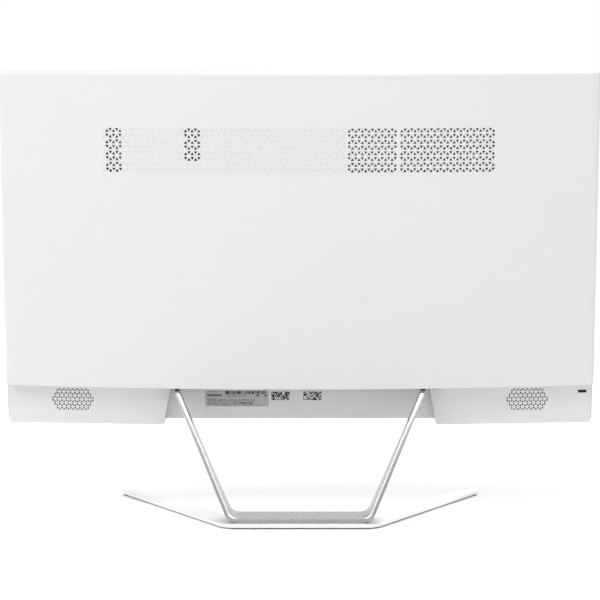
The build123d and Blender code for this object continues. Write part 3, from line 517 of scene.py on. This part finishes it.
@dataclass(frozen=True)
class ScreenGlass:
    """Dark panel: fine anti-glare sparkle over a barely seen column structure."""

    name: str = "screen_glass"
    column_pitch: float = 0.000275

    def build(self) -> bpy.types.Material:
        """Make the material."""
        kit = NodeKit(self.name)
        x, _, _ = kit.axes(kit.place())
        columns = (x * (1 / self.column_pitch)).fract().above(0.5, 0.2)
        colour = kit.blend(columns, (0.0045, 0.0048, 0.0055, 1), (0.0065, 0.0066, 0.0075, 1))
        sparkle = kit.bump(kit.noise(5200.0), 0.000004, 0.35)
        return kit.surface(Base_Color=colour, Roughness=kit.noise(1800.0) * 0.06 + 0.2, Normal=sparkle,
                           Coat_Weight=0.15, Coat_Roughness=0.15, Specular_IOR_Level=0.3)


@dataclass(frozen=True)
class ClearPlastic:
    """Lens or light guide."""

    name: str
    tint: "tuple[float, float, float]"
    roughness: float

    def build(self) -> bpy.types.Material:
        """Make the material."""
        kit = NodeKit(self.name)
        haze = kit.noise(300.0)
        low = tuple(c * 0.9 for c in self.tint) + (1.0,)
        return kit.surface(Base_Color=kit.blend(haze, low, self.tint + (1.0,)),
                           Roughness=haze * 0.05 + self.roughness, Coat_Weight=0.6)


@dataclass(frozen=True)
class InkPatch:
    """A printed rectangle of the label, in millimetres: solid, or rows of dashes."""

    left: float
    right: float
    low: float
    high: float
    ink: float = 1.0
    row: float = 0.0
    dash: float = 0.0


@dataclass(frozen=True)
class PrintedLabel:
    """Grey foil label printed with plain rows, bars and random squares, and no lettering."""

    lean: Lean
    name: str = "printed_label"
    foil_right: float = -28.5
    code_middles: "tuple[float, float]" = (-18.0, 11.6)
    code_half: float = 8.6
    code_rise: "tuple[float, float]" = (20.7, 29.0)
    module: float = 0.82
    bar: float = 0.42
    bars_at: InkPatch = InkPatch(-69.5, -31.5, 26.6, 29.5)
    patches: "tuple[InkPatch, ...]" = (
        InkPatch(-86.0, -42.0, 16.2, 22.2, ink=0.75, row=1.3, dash=0.55),
        InkPatch(-83.0, -34.0, 15.4, 16.2, ink=0.9, row=1.2, dash=0.7),
        InkPatch(-54.0, -44.0, 17.6, 19.4, row=1.9, dash=0.8),
        InkPatch(-86.0, -72.5, 24.6, 26.3, ink=0.85),
        InkPatch(-86.0, -73.0, 28.2, 29.3, ink=0.6, row=1.1, dash=0.6),
        InkPatch(-69.0, -49.5, 24.0, 26.0, ink=0.8, row=1.2, dash=0.6),
        InkPatch(-41.0, -37.5, 24.6, 25.8),
        InkPatch(-33.5, -30.5, 24.6, 25.8),
    )

    @staticmethod
    def chance(kit: NodeKit, column: Signal, row: "Signal | float") -> Signal:
        """Random number for a cell of a grid."""
        cell = kit.node("ShaderNodeCombineXYZ", inputs={0: column, 1: row}).outputs[0]
        return Signal(kit, kit.node("ShaderNodeTexWhiteNoise", inputs={"Vector": cell}).outputs["Value"])

    @staticmethod
    def window(x: Signal, rise: Signal, patch: InkPatch) -> Signal:
        """Mask of a patch's rectangle."""
        return x.between(patch.left, patch.right, 0.04) * rise.between(patch.low, patch.high, 0.04)

    def print_patch(self, kit: NodeKit, x: Signal, rise: Signal, patch: InkPatch) -> Signal:
        """Print one patch.

        Args:
            kit: Node tool.
            x: Place along the label, in millimetres.
            rise: Height, in millimetres.
            patch: The patch.

        Returns:
            The ink mask.
        """
        mask = self.window(x, rise, patch) * patch.ink
        if not patch.row:
            return mask
        inked = self.chance(kit, (x / patch.dash).floor(), (rise / patch.row).floor()).above(0.3, 0.01)
        return inked * (rise / patch.row).fract().between(0.2, 0.75, 0.06) * mask

    def build(self) -> bpy.types.Material:
        """Make the material."""
        kit = NodeKit(self.name)
        world_x, rise, _ = self.lean.coordinates(kit)
        x = 0 - world_x
        bars = self.chance(kit, (x / self.bar).floor(), 0.0).above(0.36, 0.01)
        ink = bars * self.window(x, rise, self.bars_at)
        for patch in self.patches:
            ink = ink.most(self.print_patch(kit, x, rise, patch))
        column, row = (x / self.module).floor(), (rise / self.module).floor()
        spots = [abs(x - middle).below(self.code_half, 0.03) for middle in self.code_middles]
        code = self.chance(kit, column, row).above(0.3, 0.01) * spots[0].most(spots[1])
        ink = ink.most(code * rise.between(*self.code_rise, 0.03))
        foil = kit.blend(kit.noise(70.0), grey(0.36), grey(0.41))
        paper = kit.blend(x.above(self.foil_right, 0.1), foil, grey(0.68))
        return kit.surface(Base_Color=kit.blend(ink, paper, grey(0.012)),
                           Roughness=kit.noise(500.0) * 0.1 + 0.34, Normal=kit.bump(ink, 0.00001, 0.3))


@dataclass(frozen=True)
class CircuitBoard:
    """Solder mask over copper tracks, with pads and silk dots."""

    name: str = "circuit_board"

    def build(self) -> bpy.types.Material:
        """Make the material."""
        kit = NodeKit(self.name)
        x, y, z = kit.axes(kit.place())
        tracks = (x * 1700.0 + (z * 320.0).floor() * 0.37).fract().between(0.3, 0.55, 0.04)
        weave = kit.noise(240.0).above(0.52, 0.03)
        pads = (x * 420.0).fract().between(0.3, 0.6, 0.03) * (z * 380.0).fract().between(0.35, 0.6, 0.03)
        mask = kit.blend(tracks * weave, (0.006, 0.05, 0.022, 1), (0.02, 0.115, 0.05, 1))
        tinned = pads * kit.noise(90.0).above(0.56, 0.01)
        colour = kit.blend(tinned, mask, (0.62, 0.60, 0.52, 1))
        return kit.surface(Base_Color=colour, Roughness=0.52 - tinned * 0.2, Metallic=tinned,
                           Normal=kit.bump(tracks * weave + tinned, 0.00003, 0.6))


@dataclass(frozen=True)
class Film:
    """Thin printed film such as a flat cable or an antenna."""

    name: str
    base: "tuple[float, float, float]"
    lines: "tuple[float, float, float]"
    pitch: float = 0.001

    def build(self) -> bpy.types.Material:
        """Make the material."""
        kit = NodeKit(self.name)
        x, _, _ = kit.axes(kit.place())
        stripes = (x / self.pitch).fract().between(0.25, 0.75, 0.08)
        colour = kit.blend(stripes, self.base + (1.0,), self.lines + (1.0,))
        return kit.surface(Base_Color=colour, Roughness=kit.noise(300.0) * 0.1 + 0.35,
                           Normal=kit.bump(stripes, 0.00003, 0.5))


@dataclass(frozen=True)
class AcousticCloth:
    """Black woven cloth behind the speaker holes."""

    name: str = "acoustic_cloth"

    def build(self) -> bpy.types.Material:
        """Make the material."""
        kit = NodeKit(self.name)
        x, _, z = kit.axes(kit.place())
        warp = abs((x * 2500.0).fract() - 0.5)
        weft = abs((z * 2500.0).fract() - 0.5)
        weave = warp * weft * 4
        return kit.surface(Base_Color=kit.blend(weave, grey(0.004), grey(0.02)), Roughness=0.9,
                           Normal=kit.bump(weave, 0.0001, 0.8))


class Slot(Enum):
    """The record's material slots that scene pieces and nodes take their finish from."""

    COVER = "cover_white"
    BEZEL = "bezel_plastic"
    SCREEN = "screen_glass"
    LENS = "lens_glass"
    GUIDE = "guide_acrylic"
    STAND = "stand_metal"
    HINGE = "hinge_steel"
    SCREW = "screw_steel"
    TRAY = "tray_steel"
    PAD = "foot_rubber"
    PORT = "port_black"
    SHELL = "port_metal"
    LABEL = "label_grey"
    BOARD = "board_green"
    CHIP = "chip_black"
    COPPER = "copper"
    FINS = "fin_aluminium"
    FAN = "fan_black"
    ANTENNA = "antenna_film"
    CABLE = "cable_film"


class Palette:
    """Every finish of the object, made once."""

    def __init__(self, lean: Lean) -> None:
        """Choose the finishes.

        Args:
            lean: The display's frame, for patterns that sit at set places on it.
        """
        finishes = {
            Slot.COVER: EmbossedPlastic("cover_plastic", 0.63, lean=lean),
            Slot.BEZEL: BezelPlastic("bezel_plastic", 0.63, roughness=0.3, lean=lean),
            Slot.SCREEN: ScreenGlass(),
            Slot.LENS: ClearPlastic("lens_glass", (0.01, 0.012, 0.03), 0.04),
            Slot.GUIDE: ClearPlastic("light_guide", (0.75, 0.78, 0.8), 0.2),
            Slot.STAND: Metal("base_silver", (0.90, 0.90, 0.905), 0.36, (1, 1, 1), 1500.0, metallic=0.75),
            Slot.HINGE: Metal("hinge_steel", (0.42, 0.42, 0.43), 0.38, (1, 6, 6), 500.0),
            Slot.SCREW: Metal("screw_steel", (0.55, 0.55, 0.56), 0.3, (1, 1, 1), 900.0),
            Slot.TRAY: Metal("zinc_sheet", (0.62, 0.64, 0.65), 0.36, (1, 1, 8), 260.0),
            Slot.PAD: Rubber(),
            Slot.PORT: Plastic("port_plastic", 0.02, 0.5),
            Slot.SHELL: Metal("tinned_shell", (0.70, 0.69, 0.66), 0.26, (6, 1, 1), 700.0),
            Slot.LABEL: PrintedLabel(lean),
            Slot.BOARD: CircuitBoard(),
            Slot.CHIP: Plastic("chip_resin", 0.018, 0.55),
            Slot.COPPER: Metal("copper", (0.86, 0.44, 0.27), 0.3, (8, 1, 1), 300.0),
            Slot.FINS: Metal("fin_aluminium", (0.74, 0.75, 0.76), 0.3, (1, 1, 8), 500.0),
            Slot.FAN: Plastic("fan_nylon", 0.016, 0.48),
            Slot.ANTENNA: Film("antenna_film", (0.02, 0.02, 0.022), (0.5, 0.36, 0.16), 0.004),
            Slot.CABLE: Film("cable_film", (0.72, 0.70, 0.62), (0.36, 0.33, 0.28), 0.001),
        }
        self.made = {slot: finish.build() for slot, finish in finishes.items()}
        self.cloth = AcousticCloth().build()
        self.strap = Metal("strap_silver", (0.38, 0.38, 0.385), 0.27, (1, 1, 1), 1500.0,
                           metallic=0.85).build()

    def coat(self, node: bpy.types.Object, slot: Slot) -> None:
        """Give a carried-over node its finish.

        Args:
            node: The node's object.
            slot: The slot that it takes its finish from.
        """
        if not node.material_slots:
            node.data.materials.append(self.made[slot])
        for holder in node.material_slots:
            holder.material = self.made[slot]


# ----------------------------------------------------------------------------- piece making
class Bench:
    """Turns bmesh shapes into finished pieces of the object."""

    def __init__(self, frame: dict, palette: Palette, lean: Lean) -> None:
        """Keep what every sub-assembly needs.

        Args:
            palette: The finishes.
            lean: The display's frame.
        """
        self.frame = frame
        self.palette = palette
        self.lean = lean
        self.count = 0

    def piece(self, name: str, shape: bmesh.types.BMesh, slot: Slot, body: str,
              material: "bpy.types.Material | None" = None, smooth: float = 35.0) -> bpy.types.Object:
        """Make an object from a bmesh.

        Args:
            name: The piece's name.
            shape: Its shape, freed afterwards.
            slot: The slot that it takes its finish from.
            body: The body that it rides on.
            material: Another material than the slot's own.
            smooth: Edges sharper than this many degrees stay sharp.

        Returns:
            The object.
        """
        mesh = bpy.data.meshes.new(name)
        shape.to_mesh(mesh)
        shape.free()
        mesh.shade_smooth()
        mesh.set_sharp_from_angle(angle=math.radians(smooth))
        mesh.materials.append(material or self.palette.made[slot])
        made = bpy.data.objects.new(name, mesh)
        bpy.context.scene.collection.objects.link(made)
        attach(made, body)
        self.count += 1
        LOG.info("piece %s: %d faces", name, len(mesh.polygons))
        return made

    def soften(self, node: str, width: float, segments: int, angle: float) -> bmesh.types.BMesh:
        """Copy a node's mesh with its sharp edges rounded.

        Args:
            node: The node's name.
            width: Size of the rounding.
            segments: Facets across it.
            angle: Edges sharper than this many degrees are rounded.

        Returns:
            The rounded shape.
        """
        shape = bmesh.new()
        shape.from_mesh(self.frame["nodes"][node].data)
        bmesh.ops.remove_doubles(shape, verts=shape.verts, dist=0.000002)
        bmesh.ops.dissolve_limit(shape, angle_limit=math.radians(0.4), verts=shape.verts, edges=shape.edges)
        limit = math.radians(angle)
        sharp = [e for e in shape.edges if len(e.link_faces) == 2 and e.calc_face_angle(0.0) > limit]
        bmesh.ops.bevel(shape, geom=sharp, offset=width, offset_type="OFFSET", segments=segments, profile=0.5,
                        affect="EDGES", clamp_overlap=True, material=-1)
        return shape

    def dress(self, slot: Slot, *nodes: str) -> None:
        """Give nodes their finish.

        Args:
            slot: The slot that they take their finish from.
            nodes: The nodes' names.
        """
        for node in nodes:
            self.palette.coat(self.frame["nodes"][node], slot)
        LOG.info("%s: %s", slot.value, ", ".join(nodes))


@dataclass
class Housing:
    """Covers, bezel and the printed label."""

    bench: Bench
    cloth_half: float = 0.040
    cloth_height: float = 0.026
    cloth_rise: float = 22.8
    cloth_x: float = 0.2102
    chin_centre: float = 0.0193
    chin_radius: float = 3.03

    def build(self) -> None:
        """Dress the housings and add the speaker cloths."""
        self.bench.dress(Slot.COVER, "back_cover", "lower_cover", "power_button")
        self.bench.dress(Slot.BEZEL, "front_bezel")
        self.bench.dress(Slot.LABEL, "rating_label")
        self.bench.dress(Slot.CHIP, "cover_bosses")
        for side, name in ((1, "grille_cloth_left"), (-1, "grille_cloth_right")):
            self.cloth(side, name)

    def cloth(self, side: int, name: str) -> None:
        """Lay one cloth behind a grille.

        Args:
            side: 1 for world +X, -1 for -X.
            name: The piece's name.
        """
        shape = bmesh.new()
        bmesh.ops.create_grid(shape, x_segments=24, y_segments=8, size=0.5)
        lean = self.bench.lean
        for vert in shape.verts:
            x = side * self.cloth_x + vert.co.x * self.cloth_half * 1.2
            rise = self.cloth_rise * MM + vert.co.y * self.cloth_height
            depth = self.chin_centre - x * x / (2 * self.chin_radius)
            vert.co = lean.at(x, rise, depth)
        bmesh.ops.solidify(shape, geom=shape.faces[:], thickness=0.0002)
        bmesh.ops.recalc_face_normals(shape, faces=shape.faces)
        self.bench.piece(name, shape, Slot.PORT, "display", self.bench.palette.cloth)


@dataclass
class Stand:
    """Base plate, strap, pads and the tilt hinge."""

    bench: Bench
    strap_round: float = 0.0006
    pad_height: float = 0.0015
    pad_round: float = 0.0004
    groove: float = 0.0005
    ring: float = 0.12
    flat_rim: float = 0.24

    def build(self) -> None:
        """Dress the stand and make its rounded strap and pads."""
        self.bench.dress(Slot.STAND, "base_plate", "upright_strap")
        self.bench.dress(Slot.SCREW, "base_screws", "hinge_bracket_screws", "hinge_nuts")
        self.bench.dress(Slot.HINGE, "hinge_pins", "friction_washers", "hinge_bracket_left",
                         "hinge_bracket_right")
        self.bench.dress(Slot.PAD, "base_pads")
        self.strap()
        self.pads()

    def strap(self) -> None:
        """Make the strap with rounded edges."""
        shape = self.bench.soften("upright_strap", self.strap_round, 3, 40.0)
        made = self.bench.piece("strap_upright", shape, Slot.STAND, "stand", self.bench.palette.strap)
        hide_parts("upright_strap")

    def pads(self) -> None:
        """Make the rubber pads, each with a rounded rim and a shallow ring in its face."""
        places = self.pad_places()
        shape = bmesh.new()
        for middle, radius in places:
            first = set(shape.verts)
            bmesh.ops.create_cone(shape, cap_ends=True, segments=48, radius1=radius, radius2=radius,
                                  depth=self.pad_height,
                                  matrix=Matrix.Translation((middle.x, middle.y, self.pad_height / 2)))
            own = [v for v in shape.verts if v not in first]
            base = [f for f in {f for v in own for f in v.link_faces} if f.normal.z < -0.9]
            steps = ((self.flat_rim, 0.0), (self.ring, self.groove), (self.ring, 0.0),
                     (self.ring, -self.groove))
            for share, drop in steps:
                bmesh.ops.inset_region(shape, faces=base, thickness=radius * share, depth=0.0)
                if drop:
                    bmesh.ops.translate(shape, verts=list({v for f in base for v in f.verts}),
                                        vec=Vector((0, 0, drop)))
            rims = [e for v in own for e in v.link_edges
                    if all(abs((w.co - middle).xy.length - radius) < 1e-6 for w in e.verts)
                    and abs(e.verts[0].co.z - e.verts[1].co.z) < 1e-7]
            bmesh.ops.bevel(shape, geom=list(set(rims)), offset=self.pad_round, offset_type="OFFSET",
                            segments=3, profile=0.5, affect="EDGES", clamp_overlap=True, material=-1)
        made = self.bench.piece("rubber_pads", shape, Slot.PAD, "stand")
        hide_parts("base_pads")

    def pad_places(self) -> "list[tuple[Vector, float]]":
        """Find the pads of the CAD node.

        Returns:
            The middle and radius of each pad.
        """
        copy = bmesh.new()
        copy.from_mesh(self.bench.frame["nodes"]["base_pads"].data)
        bmesh.ops.remove_doubles(copy, verts=copy.verts, dist=0.000002)
        left = set(copy.verts)
        places = []
        while left:
            group, edge = set(), [left.pop()]
            while edge:
                vert = edge.pop()
                group.add(vert)
                for link in vert.link_edges:
                    other = link.other_vert(vert)
                    if other in left:
                        left.discard(other)
                        edge.append(other)
            xs = [v.co.x for v in group]
            ys = [v.co.y for v in group]
            middle = Vector(((max(xs) + min(xs)) / 2, (max(ys) + min(ys)) / 2, 0))
            places.append((middle, (max(xs) - min(xs)) / 2))
        copy.free()
        return sorted(places, key=lambda place: (place[0].x, place[0].y))


@dataclass
class Screen:
    """Panel, light parts and the camera in the top border."""

    bench: Bench
    ring_outer: float = 0.0021
    ring_inner: float = 0.00145
    ring_proud: float = 0.00012
    camera_rise: float = 0.3218

    def build(self) -> None:
        """Dress the screen and add the ring around the camera."""
        self.bench.dress(Slot.SCREEN, "lcd_cell")
        self.bench.dress(Slot.GUIDE, "light_guide")
        self.bench.dress(Slot.BOARD, "led_strip", "webcam_board", "panel_driver")
        self.bench.dress(Slot.TRAY, "panel_tray", "chassis_plate")
        self.bench.dress(Slot.LENS, "webcam_lens")
        self.camera_ring()

    def camera_ring(self) -> None:
        """Spin a thin ring with a sloped lip."""
        shape = bmesh.new()
        profile = [(self.ring_inner, 0.0), (self.ring_inner, self.ring_proud),
                   (self.ring_outer, self.ring_proud * 0.6), (self.ring_outer, 0.0)]
        verts = [shape.verts.new((radius, 0, height)) for radius, height in profile]
        edges = [shape.edges.new((a, b)) for a, b in zip(verts, verts[1:] + verts[:1])]
        bmesh.ops.spin(shape, geom=verts + edges, axis=(0, 0, 1), cent=(0, 0, 0), angle=math.tau, steps=48,
                       use_merge=True)
        bmesh.ops.remove_doubles(shape, verts=shape.verts, dist=1e-7)
        bmesh.ops.recalc_face_normals(shape, faces=shape.faces)
        shape.transform(self.bench.lean.matrix(0.0, self.camera_rise, 0.0))
        self.bench.piece("camera_ring", shape, Slot.SHELL, "display")


@dataclass
class PortBay:
    """Sockets under the overhang."""

    bench: Bench

    def build(self) -> None:
        """Dress the sockets."""
        self.bench.dress(Slot.PORT, "io_panel", "power_inlet", "headset_jack", "lock_plate")
        self.bench.dress(Slot.SHELL, "lan_port", "video_port", "usb_ports")


@dataclass
class Electronics:
    """Everything on the chassis, and the fan."""

    bench: Bench

    def build(self) -> None:
        """Dress the electronics."""
        self.bench.dress(Slot.BOARD, "mainboard", "memory_modules", "ssd_stick", "wireless_card",
                         "power_board")
        self.bench.dress(Slot.PORT, "memory_sockets")
        self.bench.dress(Slot.CHIP, "cpu")
        self.bench.dress(Slot.COPPER, "heat_spreader", "heat_pipe")
        self.bench.dress(Slot.FINS, "fin_stack", "hard_drive")
        self.bench.dress(Slot.FAN, "fan_case", "fan_rotor", "speaker_left", "speaker_right")
        self.bench.dress(Slot.TRAY, "fan_cover", "drive_tray")
        self.bench.dress(Slot.SHELL, "coin_cell")
        self.bench.dress(Slot.SCREW, "board_screws")
        self.bench.dress(Slot.HINGE, "board_standoffs")
        self.bench.dress(Slot.ANTENNA, "antennas")
        self.bench.dress(Slot.CABLE, "panel_cable", "speaker_cable")


# ----------------------------------------------------------------------------- studio
@dataclass(frozen=True)
class SoftBox:
    """One area light that looks at a point."""

    name: str
    place: "tuple[float, float, float]"
    target: "tuple[float, float, float]"
    size: float
    power: float

    def hang(self) -> None:
        """Put the light in the scene."""
        data = bpy.data.lights.new(self.name, "AREA")
        data.shape = "DISK"
        data.size = self.size
        data.energy = self.power
        lamp = bpy.data.objects.new(self.name, data)
        lamp.location = self.place
        look = Vector(self.target) - Vector(self.place)
        lamp.rotation_euler = look.to_track_quat("-Z", "Y").to_euler()
        bpy.context.scene.collection.objects.link(lamp)


@dataclass
class Studio:
    """Camera, floor, sky and lights."""

    camera_place: "tuple[float, float, float]" = (0.0, 2.092, 0.343)
    camera_turn: "tuple[float, float, float]" = (86.0, 0.0, 180.0)
    lens: float = 136.02
    floor_radius: float = 14.0
    zenith: float = 1.25
    sky: "tuple[tuple[float, float], ...]" = ((0.10, 1.0), (0.30, 0.62), (0.75, 1.25))
    lights: "list[SoftBox]" = field(default_factory=lambda: [
        SoftBox("key_light", (1.55, 1.1, 1.4), (0.3, 0.0, 0.42), 0.8, 11.0),
        SoftBox("top_light", (0.0, 0.9, 1.8), (0.0, 0.1, 0.05), 0.7, 7.5),
        SoftBox("front_light", (-0.6, -2.0, 1.6), (0.0, 0.0, 0.2), 1.6, 12.0),
    ])

    def build(self) -> None:
        """Set the studio up."""
        scene = bpy.context.scene
        scene.view_settings.view_transform = "Standard"
        self.set_camera(scene)
        self.set_sky(scene)
        self.lay_floor(scene)
        for light in self.lights:
            light.hang()

    def set_camera(self, scene: bpy.types.Scene) -> None:
        """Place the camera behind the display."""
        data = bpy.data.cameras.new("camera")
        data.lens = self.lens
        data.clip_end = 100.0
        camera = bpy.data.objects.new("camera", data)
        camera.location = self.camera_place
        camera.rotation_euler = [math.radians(angle) for angle in self.camera_turn]
        scene.collection.objects.link(camera)
        scene.camera = camera

    def set_sky(self, scene: bpy.types.Scene) -> None:
        """Give the scene a white sky that is darker low down, for the display's shading."""
        world = bpy.data.worlds.new("studio_sky")
        world.use_nodes = True
        tree = world.node_tree
        back = tree.nodes["Background"]
        place = tree.nodes.new("ShaderNodeTexCoord")
        split = tree.nodes.new("ShaderNodeSeparateXYZ")
        ramp = tree.nodes.new("ShaderNodeValToRGB")
        tree.links.new(place.outputs["Generated"], split.inputs[0])
        tree.links.new(split.outputs[2], ramp.inputs[0])
        tree.links.new(ramp.outputs[0], back.inputs[0])
        stops = [(height, grey(level / self.zenith)) for height, level in self.sky]
        NodeKit.set_stops(ramp.color_ramp, stops)
        back.inputs[1].default_value = self.zenith
        scene.world = world

    def lay_floor(self, scene: bpy.types.Scene) -> None:
        """Lay a plain pale floor."""
        shape = bmesh.new()
        bmesh.ops.create_circle(shape, cap_ends=True, segments=96, radius=self.floor_radius)
        mesh = bpy.data.meshes.new("studio_floor")
        shape.to_mesh(mesh)
        shape.free()
        kit = NodeKit("floor_paper")
        tone = kit.blend(kit.noise(3.0), grey(0.925), grey(0.935))
        mesh.materials.append(kit.surface(Base_Color=tone, Roughness=0.9, Specular_IOR_Level=0.1))
        floor = bpy.data.objects.new("studio_floor", mesh)
        scene.collection.objects.link(floor)


def corners(box: "tuple[Vector, Vector]") -> "list[list[float]]":
    """Return a box as plain lists."""
    return [[float(value) for value in corner] for corner in box]


def main() -> None:
    """Build the looks in order."""
    logging.basicConfig(level=logging.INFO, format="%(name)s %(message)s")
    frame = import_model()
    lean = Lean.from_frame(frame)
    Studio().build()
    bench = Bench(frame, Palette(lean), lean)
    for group in (Housing(bench), Stand(bench), Screen(bench), PortBay(bench), Electronics(bench)):
        group.build()
        LOG.info("%s done", type(group).__name__)
    LOG.info("%d new pieces", bench.count)


if __name__ == "__main__":
    main()
